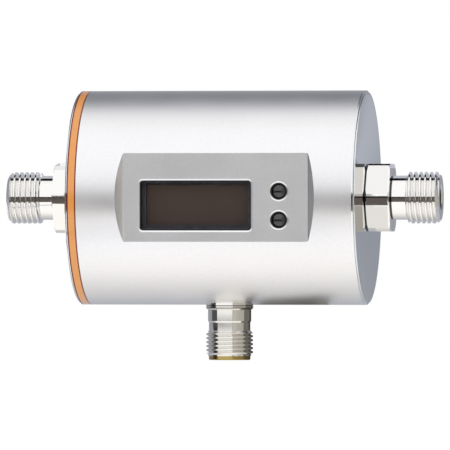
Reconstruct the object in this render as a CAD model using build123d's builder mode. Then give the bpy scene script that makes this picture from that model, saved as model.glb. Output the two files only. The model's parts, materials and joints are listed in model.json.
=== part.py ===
"""Electromagnetic flow meter for a small pipe, in millimetres.

X runs along the flow, from the inlet to the outlet, and the origin is on the flow axis at the middle of the meter.
-Y is the display side and +Z is up, with the plug connector pointing down.
"""

import os
from math import cos, radians, sqrt, tan

from build123d import *

os.makedirs("parts", exist_ok=True)

# Housing
body_diameter = 54.0
body_length = 73.0  # from rim to rim
wall = 1.5
rim_land = 1.0
rim_round = 0.4
plate_rim = 0.8  # rim of the outlet plate, seen beyond the tube
dish_depth = 3.3
plate_thickness = 1.5
dish_flat_margin = 0.65  # of the plate's flat middle, round the nipple's hexagon
spigot_wall = 2.0
spigot_depth = 2.4  # how far the outlet plate reaches into the tube
fit_gap = 0.05  # slip fit between parts that are pushed together

# Inlet cap and its seals
cap_rim = 0.55
seal_width = 2.25
seal_bevel = 0.2
cap_reach = 4.4  # how far the cap reaches into the tube
cap_ring_section = 1.2
ring_squeeze = 0.05  # share of its cord by which a round seal is flattened
ring_groove_share = 1.3  # width of a round seal's groove, in cords

# Nipples
thread_diameter = 13.157  # G 1/4
thread_length = 8.45
thread_chamfer = 0.86
thread_runout = 0.45  # from the neck to the full thread
neck_diameter = 11.1
neck_length = 3.75
hex_across_flats = 17.0
hex_length = 5.85
hex_bar_diameter = 18.7  # round bar that the hexagon is milled on, which cuts its corners off
hex_bevel_diameter = 18.0  # where the corner bevel meets the end faces
hex_bevel_angle = 30.0
inlet_hex_turn = 6.0  # degrees about the flow axis
groove_width = 0.5
groove_depth = 0.75
collar_length = 3.25
shank_diameter = 14.0
shank_reach = 4.7  # beyond the chassis cheek
flow_bore = 6.0
seat_diameter = 10.0  # counterbore that takes the measuring tube
seat_depth = 6.0
nut_across_flats = 19.0
nut_thickness = 3.0

# Measuring tube, electrodes, poles and coils
tube_diameter = 13.0
tube_flange_diameter = 20.0
tube_flange_thickness = 2.0
tube_flat = 5.5  # from the axis to each of the four flats
tube_ring_section = 1.0
electrode_diameter = 2.0
electrode_nut_diameter = 4.4
electrode_nut_thickness = 1.5
electrode_stand_out = 0.4
shoe_length = 14.0
shoe_width = 6.6
shoe_thickness = 1.5
shoe_corner = 1.0
core_diameter = 6.0
bobbin_wall = 0.8
bobbin_diameter = 14.6
winding_diameter = 14.0
yoke_width = 12.0
yoke_thickness = 1.5
yoke_side_gap = 0.5  # beside the electrodes
yoke_corner = 2.0
yoke_screw_diameter = 3.0
yoke_screw_head = 5.4
yoke_screw_head_height = 1.7
yoke_screw_depth = 2.6
screw_head_gap = 3.3  # between the lower yoke screw and the connector

# Display side
flat_depth = 2.37
flat_end_run = 1.8  # how far each sloping end of the flat runs out
flat_end_radius = 0.6
flat_left_margin = 4.15
flat_right_margin = 7.4
window_center_x = -3.8
window_center_z = -2.0
window_length = 28.1
window_height = 12.5
window_corner = 0.8
window_chamfer = 0.4  # width on the flat
edge_chamfer_depth = 0.18  # of the window and button holes, into the wall
gasket_width = 0.35
gasket_recess = 0.2
pane_recess = 0.1
pane_bevel = 0.25
pane_flange = 0.8
pane_margin = 1.7
pane_edge_gap = 0.5
bezel_thickness = 1.2
bezel_side_border = 1.32
bezel_top_border = 1.06
bezel_bottom_border = 1.45
filter_thickness = 0.5
filter_margin = 0.6
module_depth = 3.1

# Buttons and their switches
button_offset = 6.95  # from the window's edge
button_center_z = -2.045
button_pitch = 7.15
button_hole = 4.3
button_chamfer = 0.35
button_diameter = 3.5
button_running_gap = 0.05
button_recess = 0.15
button_dome_diameter = 2.7
button_dome = 0.35
button_shoulder = 0.12  # fall of the sloping shoulder round the dome
button_travel = 0.5
seal_recess = 0.25
seal_flange_width = 0.55
seal_flange_thickness = 0.8
collar_gap = 0.1
button_collar_width = 0.5
button_collar_thickness = 0.8
switch_size = 3.2
switch_height = 1.4
plunger_diameter = 1.6
plunger_stand_out = 0.8
plunger_end_gap = 0.2

# Boards and chassis
display_board_thickness = 1.2
display_board_height = 25.0
main_board_thickness = 1.6
main_board_edge_gap = 1.6
board_end_gap = 2.7
board_corner = 1.5
rail_gap = 0.8
rail_height = 3.0
rail_center_z = 10.5
cheek_thickness = 2.0
cheek_height = 28.0
cheek_corner = 3.0
board_screw_diameter = 2.0
board_screw_head = 3.8
board_screw_head_height = 1.3
board_screw_depth = 4.0
board_screw_inset = 3.0
ribbon_width = 8.0
ribbon_thickness = 0.3
ribbon_inset = 13.0  # from the boards' end to the ribbon
ribbon_drop = 5.5
ribbon_bend = 1.5
ribbon_rail_gap = 0.5

# Connector, M12 x 1
connector_x = 1.25
stem_diameter = 10.0
stem_reach = 3.0  # inside the tube's wall
connector_collar_diameter = 12.0
collar_lip = 0.22  # from the housing's lowest line to the collar's first groove
collar_ring = 0.55  # between the collar's two grooves
collar_groove_depth = 0.25
collar_groove_half = 0.12
collar_taper = 0.5
barrel_diameter = 10.9
barrel_length = 2.8
barrel_taper = 0.4
connector_neck_diameter = 10.45
connector_neck_length = 2.03
plug_thread_diameter = 12.0
plug_thread_length = 6.1
plug_thread_chamfer = 0.5
end_band = 0.3
socket_bore = 9.5
sleeve_wall = 0.4
sleeve_flange_diameter = 10.5
sleeve_flange = 1.0
sleeve_bevel = 0.2
carrier_face_depth = 8.4  # from the shell's end to the carrier's face
carrier_length = 7.5
carrier_ring_section = 0.8
pin_diameter = 1.0
pin_chamfer = 0.2
pin_circle = 5.5
pin_tip_recess = 0.6
pin_tail = 1.5
pin_count = 4

# Housing places
body_r = body_diameter / 2
inner_r = body_r - wall
rim_x = body_length / 2
tube_start = -rim_x + cap_rim + seal_width
tube_end = rim_x - plate_rim
dish_x = rim_x - dish_depth
plate_inner_x = dish_x - plate_thickness

# Nipple places, measured outwards from the middle
collar_end_x = dish_x + collar_length
hex_start_x = collar_end_x + groove_width
hex_end_x = hex_start_x + hex_length
thread_start_x = hex_end_x + neck_length
nipple_end_x = thread_start_x + thread_length
hex_flat_r = hex_across_flats / 2
dish_flat_r = hex_bar_diameter / 2 + dish_flat_margin
hole_r = shank_diameter / 2 + fit_gap
nut_inner_x = plate_inner_x - nut_thickness
cheek_inner_x = nut_inner_x - cheek_thickness
shank_end_x = cheek_inner_x - shank_reach
seat_end_x = shank_end_x + seat_depth

# Measuring places
electrode_end_y = tube_flat + electrode_nut_thickness + electrode_stand_out
yoke_inner_y = electrode_end_y + yoke_side_gap
yoke_outer_y = yoke_inner_y + yoke_thickness
yoke_outer_z = inner_r - stem_reach - screw_head_gap - yoke_screw_head_height
yoke_inner_z = yoke_outer_z - yoke_thickness
shoe_top_z = tube_flat + shoe_thickness

# Display places, as distances in front of the flow axis
flat_y = body_r - flat_depth
wall_back_y = flat_y - wall
pane_back_y = wall_back_y - pane_flange
bezel_back_y = pane_back_y - bezel_thickness
filter_back_y = bezel_back_y - filter_thickness
board_front_y = filter_back_y - module_depth
board_back_y = board_front_y - display_board_thickness
main_board_back_y = board_back_y + main_board_thickness
window_left = window_center_x - window_length / 2
window_right = window_center_x + window_length / 2
window_top = window_center_z + window_height / 2
window_bottom = window_center_z - window_height / 2
button_x = window_right + button_offset
flat_left = window_left - flat_left_margin
flat_right = button_x + flat_right_margin
inner_flat_z = sqrt(inner_r**2 - wall_back_y**2)
board_half = cheek_inner_x - board_end_gap
button_places = {
    "upper": button_center_z + button_pitch / 2,
    "lower": button_center_z - button_pitch / 2,
}

# Connector places
saddle_z = -sqrt(body_r**2 - (connector_collar_diameter / 2) ** 2)
collar_grooves_z = (-body_r - collar_lip, -body_r - collar_lip - collar_ring)
barrel_start_z = collar_grooves_z[1] - collar_taper
barrel_end_z = barrel_start_z - barrel_length
neck_start_z = barrel_end_z - barrel_taper
plug_thread_start_z = neck_start_z - connector_neck_length
plug_thread_end_z = plug_thread_start_z - plug_thread_length
shell_end_z = plug_thread_end_z - end_band
stem_end_z = -inner_r + stem_reach
carrier_face_z = shell_end_z + carrier_face_depth
carrier_back_z = carrier_face_z + carrier_length
sleeve_end_z = shell_end_z - sleeve_flange


def flat_outline():
    """The section of the sloping-ended flat that is pressed into the tube, seen from above."""
    out = flat_depth + rim_land
    run = flat_end_run * out / flat_depth
    Polyline(
        (flat_left, -flat_y),
        (flat_right, -flat_y),
        (flat_right + run, -flat_y - out),
        (flat_left - run, -flat_y - out),
        close=True,
    )


# The space inside the housing tube, with the pressed flat standing into it
with BuildPart() as tube_space:
    with BuildSketch(Plane.YZ.offset(tube_start)):
        Circle(inner_r)
    extrude(amount=tube_end - tube_start)
    with BuildSketch(Plane.XY.offset(-body_r)):
        with BuildLine():
            flat_outline()
        make_face()
        offset(amount=wall, kind=Kind.INTERSECTION)
    extrude(amount=body_diameter, mode=Mode.SUBTRACT)

# Housing tube, with the pressed display flat, the window, the button holes and the connector's hole
with BuildPart() as housing_tube:
    with BuildSketch(Plane.YZ.offset(tube_start)):
        Circle(body_r)
    extrude(amount=tube_end - tube_start)
    with BuildSketch(Plane.XY.offset(-body_r)):
        with BuildLine():
            flat_outline()
        face = make_face()
        fillet(face.vertices().group_by(Axis.Y)[-1], radius=flat_end_radius)
    extrude(amount=body_diameter, mode=Mode.SUBTRACT)
    add(tube_space.part, mode=Mode.SUBTRACT)
    with BuildSketch(Plane.XZ.offset(flat_y)):
        with Locations((window_center_x, window_center_z)):
            RectangleRounded(window_length, window_height, window_corner)
    extrude(amount=-2 * wall, mode=Mode.SUBTRACT)
    front_edges = housing_tube.edges(Select.LAST).filter_by_position(Axis.Y, -flat_y, -flat_y)
    flat_face = housing_tube.faces().filter_by_position(Axis.Y, -flat_y, -flat_y)[0]
    chamfer(front_edges, length=window_chamfer, length2=edge_chamfer_depth, reference=flat_face)
    with BuildSketch(Plane.XZ.offset(flat_y)):
        with Locations([(button_x, z) for z in button_places.values()]):
            Circle(button_hole / 2)
    extrude(amount=-2 * wall, mode=Mode.SUBTRACT)
    front_edges = housing_tube.edges(Select.LAST).filter_by_position(Axis.Y, -flat_y, -flat_y)
    flat_face = housing_tube.faces().filter_by_position(Axis.Y, -flat_y, -flat_y)[0]
    chamfer(front_edges, length=button_chamfer, length2=edge_chamfer_depth, reference=flat_face)
    with BuildSketch(Plane.XY.offset(-body_r)):
        with Locations((connector_x, 0)):
            Circle(stem_diameter / 2)
    extrude(amount=body_r, mode=Mode.SUBTRACT)
housing_tube.part.label = "housing_tube"
export_step(housing_tube.part, "parts/housing_tube.step")

# Outlet end plate: a dished plate, pushed into the tube and seamed to its rim
with BuildPart() as outlet_end_plate:
    with BuildSketch(Plane.XY):
        with BuildLine():
            spigot_r = inner_r - fit_gap
            spigot_end_x = tube_end - spigot_depth
            rise = dish_depth / (body_r - rim_land - dish_flat_r)
            slope_end_x = plate_inner_x + (spigot_r - spigot_wall - dish_flat_r) * rise
            outline = Polyline(
                (dish_x, hole_r),
                (dish_x, dish_flat_r),
                (rim_x, body_r - rim_land),
                (rim_x, body_r - rim_round),
            )
            RadiusArc(outline @ 1, (rim_x - rim_round, body_r), rim_round)
            Polyline(
                (rim_x - rim_round, body_r),
                (tube_end, body_r),
                (tube_end, spigot_r),
                (spigot_end_x, spigot_r),
                (spigot_end_x, spigot_r - spigot_wall),
                (slope_end_x, spigot_r - spigot_wall),
                (plate_inner_x, dish_flat_r),
                (plate_inner_x, hole_r),
                (dish_x, hole_r),
            )
        make_face()
    revolve(axis=Axis.X)
outlet_end_plate.part.label = "outlet_end_plate"
export_step(outlet_end_plate.part, "parts/outlet_end_plate.step")

# Inlet cap: the same dished plate, with a longer spigot that carries the two seals
cap_face_x = -rim_x + cap_rim
cap_end_x = tube_start + cap_reach
cap_ring_x = tube_start + cap_reach / 2
cap_groove_r = inner_r - (1 - ring_squeeze) * cap_ring_section
with BuildPart() as inlet_end_cap:
    with BuildSketch(Plane.XY):
        with BuildLine():
            outline = Polyline(
                (-dish_x, hole_r),
                (-dish_x, dish_flat_r),
                (-rim_x, body_r - rim_land),
                (-rim_x, body_r - rim_round),
            )
            RadiusArc(outline @ 1, (-rim_x + rim_round, body_r), -rim_round)
            Polyline(
                (-rim_x + rim_round, body_r),
                (cap_face_x, body_r),
                (cap_face_x, spigot_r),
                (cap_end_x, spigot_r),
                (cap_end_x, spigot_r - spigot_wall),
                (-slope_end_x, spigot_r - spigot_wall),
                (-plate_inner_x, dish_flat_r),
                (-plate_inner_x, hole_r),
                (-dish_x, hole_r),
            )
        make_face()
    revolve(axis=Axis.X)
    with BuildSketch(Plane.XY):
        with Locations((cap_ring_x, (cap_groove_r + body_r) / 2)):
            Rectangle(ring_groove_share * cap_ring_section, body_r - cap_groove_r)
    revolve(axis=Axis.X, mode=Mode.SUBTRACT)
inlet_end_cap.part.label = "inlet_end_cap"
export_step(inlet_end_cap.part, "parts/inlet_end_cap.step")

# Flush seal ring between the cap's rim and the tube
with BuildPart() as seal_ring:
    with BuildSketch(Plane.XY):
        with Locations(((cap_face_x + tube_start) / 2, (spigot_r + body_r) / 2)):
            Rectangle(seal_width, body_r - spigot_r)
    revolve(axis=Axis.X)
    outer_edges = seal_ring.edges().filter_by(GeomType.CIRCLE).group_by(SortBy.RADIUS)[-1]
    chamfer(outer_edges, length=seal_bevel)
seal_ring.part.label = "seal_ring"
export_step(seal_ring.part, "parts/seal_ring.step")


def o_ring(plane_x, outer_r, section):
    """A round ring of the given cord section about the flow axis, flattened a little where it bears."""
    half_width = (1 + ring_squeeze) * section / 2
    half_height = (1 - ring_squeeze) * section / 2
    with BuildPart() as ring:
        with BuildSketch(Plane.XY):
            with Locations((plane_x, outer_r - half_height)):
                Ellipse(half_width, half_height)
        revolve(axis=Axis.X)
    return ring.part


# Round seal of the cap, in the groove of its spigot
cap_o_ring = o_ring(cap_ring_x, inner_r, cap_ring_section)
cap_o_ring.label = "cap_o_ring"
export_step(cap_o_ring, "parts/cap_o_ring.step")


def nipple(side, hex_turn):
    """A turned nipple, one solid from its pipe thread to the shank that is clamped in the end plate.

    The hexagon and the collar behind it are milled together, with a turned groove between them.
    """
    corner_r = hex_bar_diameter / 2
    bevel_r = hex_bevel_diameter / 2
    bevel = (corner_r - bevel_r) * tan(radians(hex_bevel_angle))
    groove_r = hex_flat_r - groove_depth
    shank_r = shank_diameter / 2
    thread_r = thread_diameter / 2
    neck_r = neck_diameter / 2
    with BuildPart() as piece:
        with BuildSketch(Plane.YZ.offset(side * dish_x)):
            RegularPolygon(hex_flat_r, 6, major_radius=False, rotation=hex_turn)
        extrude(amount=side * (hex_end_x - dish_x))
        with BuildSketch(Plane.XY):
            with BuildLine():
                Polyline(
                    (side * dish_x, 0),
                    (side * dish_x, corner_r),
                    (side * (collar_end_x - bevel), corner_r),
                    (side * collar_end_x, bevel_r),
                    (side * collar_end_x, groove_r),
                    (side * hex_start_x, groove_r),
                    (side * hex_start_x, bevel_r),
                    (side * (hex_start_x + bevel), corner_r),
                    (side * (hex_end_x - bevel), corner_r),
                    (side * hex_end_x, bevel_r),
                    (side * hex_end_x, 0),
                    close=True,
                )
            make_face()
        revolve(axis=Axis.X, mode=Mode.INTERSECT)
        with BuildSketch(Plane.XY):
            with BuildLine():
                Polyline(
                    (side * shank_end_x, 0),
                    (side * shank_end_x, shank_r),
                    (side * dish_x, shank_r),
                    (side * hex_end_x, neck_r),
                    (side * thread_start_x, neck_r),
                    (side * (thread_start_x + thread_runout), thread_r),
                    (side * (nipple_end_x - thread_chamfer), thread_r),
                    (side * nipple_end_x, thread_r - thread_chamfer),
                    (side * nipple_end_x, 0),
                    close=True,
                )
            make_face()
        revolve(axis=Axis.X)
        with BuildSketch(Plane.YZ.offset(side * shank_end_x)):
            Circle(flow_bore / 2)
        extrude(amount=side * (nipple_end_x - shank_end_x), mode=Mode.SUBTRACT)
        with BuildSketch(Plane.YZ.offset(side * shank_end_x)):
            Circle(seat_diameter / 2)
        extrude(amount=side * seat_depth, mode=Mode.SUBTRACT)
    return piece.part


def lock_nut(side):
    """The thin hexagon nut that clamps a nipple's collar against the end plate from inside."""
    corner_r = nut_across_flats / 2 / cos(radians(30))
    flat_r = nut_across_flats / 2
    bevel = (corner_r - flat_r) * tan(radians(hex_bevel_angle))
    with BuildPart() as nut:
        with BuildSketch(Plane.YZ.offset(side * nut_inner_x)):
            RegularPolygon(flat_r, 6, major_radius=False)
        extrude(amount=side * nut_thickness)
        with BuildSketch(Plane.XY):
            with BuildLine():
                Polyline(
                    (side * nut_inner_x, shank_diameter / 2 + fit_gap),
                    (side * nut_inner_x, flat_r),
                    (side * (nut_inner_x + bevel), corner_r),
                    (side * plate_inner_x, corner_r),
                    (side * plate_inner_x, shank_diameter / 2 + fit_gap),
                    close=True,
                )
            make_face()
        revolve(axis=Axis.X, mode=Mode.INTERSECT)
    return nut.part


# Nipples, lock nuts and the round seals between the nipples and the measuring tube
tube_groove_r = seat_diameter / 2 - (1 - ring_squeeze) * tube_ring_section
tube_ring_x = (shank_end_x + seat_end_x) / 2
for end, side, hex_turn in (("inlet", -1, inlet_hex_turn), ("outlet", 1, 0)):
    piece = nipple(side, hex_turn)
    piece.label = f"{end}_nipple"
    export_step(piece, f"parts/{end}_nipple.step")
    piece = lock_nut(side)
    piece.label = f"{end}_lock_nut"
    export_step(piece, f"parts/{end}_lock_nut.step")
    piece = o_ring(side * tube_ring_x, seat_diameter / 2, tube_ring_section)
    piece.label = f"{end}_o_ring"
    export_step(piece, f"parts/{end}_o_ring.step")

# Measuring tube: a moulded insulating tube with a spigot at each end and four flats at the middle
spigot_seat_r = seat_diameter / 2 - fit_gap
flange_outer_x = shank_end_x - fit_gap
flange_inner_x = flange_outer_x - tube_flange_thickness
groove_half = ring_groove_share * tube_ring_section / 2
with BuildPart() as measuring_tube:
    with BuildSketch(Plane.XY):
        with BuildLine():
            Polyline(
                (0, flow_bore / 2),
                (seat_end_x, flow_bore / 2),
                (seat_end_x, spigot_seat_r),
                (tube_ring_x + groove_half, spigot_seat_r),
                (tube_ring_x + groove_half, tube_groove_r),
                (tube_ring_x - groove_half, tube_groove_r),
                (tube_ring_x - groove_half, spigot_seat_r),
                (flange_outer_x, spigot_seat_r),
                (flange_outer_x, tube_flange_diameter / 2),
                (flange_inner_x, tube_flange_diameter / 2),
                (flange_inner_x, tube_diameter / 2),
                (0, tube_diameter / 2),
                close=True,
            )
        make_face()
        mirror(about=Plane.YZ)
    revolve(axis=Axis.X)
    with BuildSketch(Plane.XY.offset(-tube_flat), Plane.XY.offset(tube_flat).reverse()) as flats:
        Rectangle(shoe_length + 2 * fit_gap, tube_diameter)
    extrude(amount=-tube_diameter, mode=Mode.SUBTRACT)
    with BuildSketch(Plane.XZ.offset(-tube_flat), Plane.XZ.offset(tube_flat).reverse()):
        Rectangle(electrode_nut_diameter + 4 * fit_gap, tube_diameter)
    extrude(amount=-tube_diameter, mode=Mode.SUBTRACT)
    with BuildSketch(Plane.XZ.offset(-tube_diameter)):
        Circle(electrode_diameter / 2)
    extrude(amount=2 * tube_diameter, mode=Mode.SUBTRACT)
measuring_tube.part.label = "measuring_tube"
export_step(measuring_tube.part, "parts/measuring_tube.step")

# Electrodes: two pins across the tube, with their tips in the bore's wall, each held by its nut
for name, side in (("front", -1), ("rear", 1)):
    with BuildPart() as electrode:
        with BuildSketch(Plane.XZ.offset(-side * flow_bore / 2)):
            Circle(electrode_diameter / 2)
        extrude(amount=-side * (electrode_end_y - flow_bore / 2))
    electrode.part.label = f"electrode_{name}"
    export_step(electrode.part, f"parts/electrode_{name}.step")
    with BuildPart() as electrode_nut:
        with BuildSketch(Plane.XZ.offset(-side * tube_flat)):
            RegularPolygon(electrode_nut_diameter / 2, 6)
            Circle(electrode_diameter / 2, mode=Mode.SUBTRACT)
        extrude(amount=-side * electrode_nut_thickness)
    electrode_nut.part.label = f"electrode_nut_{name}"
    export_step(electrode_nut.part, f"parts/electrode_nut_{name}.step")

# Poles, bobbins, windings and yoke screws, above and below the tube
for name, side in (("upper", 1), ("lower", -1)):
    with BuildPart() as pole_piece:
        with BuildSketch(Plane.XY.offset(side * tube_flat)):
            RectangleRounded(shoe_length, shoe_width, shoe_corner)
        extrude(amount=side * shoe_thickness)
        with BuildSketch(Plane.XY.offset(side * shoe_top_z)):
            Circle(core_diameter / 2)
        extrude(amount=side * (yoke_inner_z - shoe_top_z))
        with BuildSketch(Plane.XY.offset(side * yoke_inner_z)):
            Circle(yoke_screw_diameter / 2)
        extrude(amount=-side * yoke_screw_depth, mode=Mode.SUBTRACT)
    pole_piece.part.label = f"pole_piece_{name}"
    export_step(pole_piece.part, f"parts/pole_piece_{name}.step")

    bobbin_r = core_diameter / 2 + fit_gap
    with BuildPart() as coil_bobbin:
        with BuildSketch(Plane.XZ):
            with BuildLine():
                Polyline(
                    (bobbin_r, side * shoe_top_z),
                    (bobbin_diameter / 2, side * shoe_top_z),
                    (bobbin_diameter / 2, side * (shoe_top_z + bobbin_wall)),
                    (bobbin_r + bobbin_wall, side * (shoe_top_z + bobbin_wall)),
                    (bobbin_r + bobbin_wall, side * (yoke_inner_z - bobbin_wall)),
                    (bobbin_diameter / 2, side * (yoke_inner_z - bobbin_wall)),
                    (bobbin_diameter / 2, side * yoke_inner_z),
                    (bobbin_r, side * yoke_inner_z),
                    close=True,
                )
            make_face()
        revolve(axis=Axis.Z)
    coil_bobbin.part.label = f"coil_bobbin_{name}"
    export_step(coil_bobbin.part, f"parts/coil_bobbin_{name}.step")

    with BuildPart() as coil_winding:
        with BuildSketch(Plane.XY.offset(side * (shoe_top_z + bobbin_wall))):
            Circle(winding_diameter / 2)
            Circle(bobbin_r + bobbin_wall, mode=Mode.SUBTRACT)
        extrude(amount=side * (yoke_inner_z - shoe_top_z - 2 * bobbin_wall))
    coil_winding.part.label = f"coil_winding_{name}"
    export_step(coil_winding.part, f"parts/coil_winding_{name}.step")

    with BuildPart() as yoke_screw:
        with BuildSketch(Plane.XY.offset(side * (yoke_inner_z - yoke_screw_depth))):
            Circle(yoke_screw_diameter / 2)
        extrude(amount=side * (yoke_screw_depth + yoke_thickness))
        with BuildSketch(Plane.XY.offset(side * yoke_outer_z)):
            Circle(yoke_screw_head / 2)
        extrude(amount=side * yoke_screw_head_height)
    yoke_screw.part.label = f"yoke_screw_{name}"
    export_step(yoke_screw.part, f"parts/yoke_screw_{name}.step")

# Yoke: one closed band of soft iron that joins the two cores round the tube
with BuildPart() as yoke:
    with BuildSketch(Plane.YZ.offset(-yoke_width / 2)):
        RectangleRounded(2 * yoke_outer_y, 2 * yoke_outer_z, yoke_corner)
        inner_corner = yoke_corner - yoke_thickness
        RectangleRounded(2 * yoke_inner_y, 2 * yoke_inner_z, inner_corner, mode=Mode.SUBTRACT)
    extrude(amount=yoke_width)
    with BuildSketch(Plane.XY.offset(-yoke_outer_z)):
        Circle(yoke_screw_diameter / 2)
    extrude(amount=2 * yoke_outer_z, mode=Mode.SUBTRACT)
yoke.part.label = "yoke"
export_step(yoke.part, "parts/yoke.step")

# Chassis: two cheeks on the nipples' shanks and four rails that carry the boards
screw_places = [
    (x, z)
    for x in (board_screw_inset - board_half, board_half - board_screw_inset)
    for z in (-rail_center_z, rail_center_z)
]
rail_inner_y = yoke_outer_y + rail_gap
with BuildPart() as chassis:
    with BuildSketch(Plane.YZ.offset(cheek_inner_x), Plane.YZ.offset(-nut_inner_x)):
        RectangleRounded(2 * board_back_y, cheek_height, cheek_corner)
        Circle(shank_diameter / 2 + fit_gap, mode=Mode.SUBTRACT)
    extrude(amount=cheek_thickness)
    with BuildSketch(Plane.YZ.offset(-cheek_inner_x)):
        rail_depth = board_back_y - rail_inner_y
        with GridLocations(board_back_y + rail_inner_y, 2 * rail_center_z, 2, 2):
            Rectangle(rail_depth, rail_height)
    extrude(amount=2 * cheek_inner_x)
    with BuildSketch(Plane.XZ.offset(board_back_y), Plane.XZ.offset(-board_back_y).reverse()):
        with Locations(screw_places):
            Circle(board_screw_diameter / 2)
    extrude(amount=-board_screw_depth, mode=Mode.SUBTRACT)
chassis.part.label = "chassis"
export_step(chassis.part, "parts/chassis.step")

# Display board, in front of the rails
with BuildPart() as display_board:
    with BuildSketch(Plane.XZ.offset(board_back_y)):
        RectangleRounded(2 * board_half, display_board_height, board_corner)
        with Locations(screw_places):
            Circle(board_screw_diameter / 2, mode=Mode.SUBTRACT)
    extrude(amount=display_board_thickness)
display_board.part.label = "display_board"
export_step(display_board.part, "parts/display_board.step")

# Main board, behind the rails, as high as the round housing lets it be
main_board_half_height = sqrt(inner_r**2 - main_board_back_y**2) - main_board_edge_gap
with BuildPart() as main_board:
    with BuildSketch(Plane.XZ.offset(-board_back_y)):
        RectangleRounded(2 * board_half, 2 * main_board_half_height, board_corner)
        with Locations(screw_places):
            Circle(board_screw_diameter / 2, mode=Mode.SUBTRACT)
    extrude(amount=-main_board_thickness)
main_board.part.label = "main_board"
export_step(main_board.part, "parts/main_board.step")

# Board screws, eight alike
with BuildPart() as board_screws:
    for face_y, back_y, way in (
        (board_front_y, board_back_y, 1),
        (-main_board_back_y, -board_back_y, -1),
    ):
        with BuildSketch(Plane.XZ.offset(face_y)):
            with Locations(screw_places):
                Circle(board_screw_head / 2)
        extrude(amount=way * board_screw_head_height)
        with BuildSketch(Plane.XZ.offset(back_y - way * board_screw_depth)):
            with Locations(screw_places):
                Circle(board_screw_diameter / 2)
        extrude(amount=face_y - back_y + way * board_screw_depth)
board_screws.part.label = "board_screws"
export_step(board_screws.part, "parts/board_screws.step")

# Ribbon: a flat flexible link from board to board, bent square at each
ribbon_z = rail_center_z - rail_height / 2 - ribbon_rail_gap
with BuildPart() as ribbon_link:
    with BuildSketch(Plane.YZ.offset(board_half - ribbon_inset)):
        with BuildLine():
            FilletPolyline(
                (-board_back_y, ribbon_z - ribbon_drop),
                (-board_back_y, ribbon_z),
                (board_back_y, ribbon_z),
                (board_back_y, ribbon_z - ribbon_drop),
                radius=ribbon_bend,
            )
            offset(amount=ribbon_thickness, side=Side.RIGHT)
        make_face()
    extrude(amount=ribbon_width)
ribbon_link.part.label = "ribbon_link"
export_step(ribbon_link.part, "parts/ribbon_link.step")

# Window gasket: a black rubber frame between the cut-out's edge and the pane
plug_length = window_length - 2 * gasket_width
plug_height = window_height - 2 * gasket_width
plug_corner = window_corner - gasket_width
with BuildPart() as window_gasket:
    with BuildSketch(Plane.XZ.offset(wall_back_y)):
        with Locations((window_center_x, window_center_z)):
            RectangleRounded(window_length, window_height, window_corner)
            RectangleRounded(plug_length, plug_height, plug_corner, mode=Mode.SUBTRACT)
    extrude(amount=wall - gasket_recess)
window_gasket.part.label = "window_gasket"
export_step(window_gasket.part, "parts/window_gasket.step")

# Window pane: a clear plug with a bevelled face in the gasket, and a flange cemented behind the flat
with BuildPart() as window_pane:
    with BuildSketch(Plane.XZ.offset(wall_back_y)):
        with Locations((window_center_x, window_center_z)):
            RectangleRounded(plug_length, plug_height, plug_corner)
    extrude(amount=wall - pane_recess)
    chamfer(window_pane.edges().group_by(Axis.Y)[0], length=pane_bevel)
    with BuildSketch(Plane.XZ.offset(pane_back_y)):
        with Locations((window_center_x, 0)):
            Rectangle(window_length + 2 * pane_margin, 2 * (inner_flat_z - pane_edge_gap))
    extrude(amount=pane_flange)
window_pane.part.label = "window_pane"
export_step(window_pane.part, "parts/window_pane.step")

# Bezel: the black frame behind the pane
opening_x = window_length - 2 * bezel_side_border
opening_z = window_height - bezel_top_border - bezel_bottom_border
opening_center_z = window_center_z + (bezel_bottom_border - bezel_top_border) / 2
with BuildPart() as window_bezel:
    with BuildSketch(Plane.XZ.offset(bezel_back_y)):
        with Locations((window_center_x, 0)):
            Rectangle(window_length + 2 * pane_margin, 2 * (inner_flat_z - pane_edge_gap))
        with Locations((window_center_x, opening_center_z)):
            Rectangle(opening_x, opening_z, mode=Mode.SUBTRACT)
    extrude(amount=bezel_thickness)
window_bezel.part.label = "window_bezel"
export_step(window_bezel.part, "parts/window_bezel.step")

# Brown filter sheet and the display module behind it
for name, back_y, depth in (
    ("display_filter", filter_back_y, filter_thickness),
    ("display_module", board_front_y, module_depth),
):
    with BuildPart() as layer:
        with BuildSketch(Plane.XZ.offset(back_y)):
            with Locations((window_center_x, opening_center_z)):
                Rectangle(opening_x + 2 * filter_margin, opening_z + 2 * filter_margin)
        extrude(amount=depth)
    layer.part.label = name
    export_step(layer.part, f"parts/{name}.step")

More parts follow.
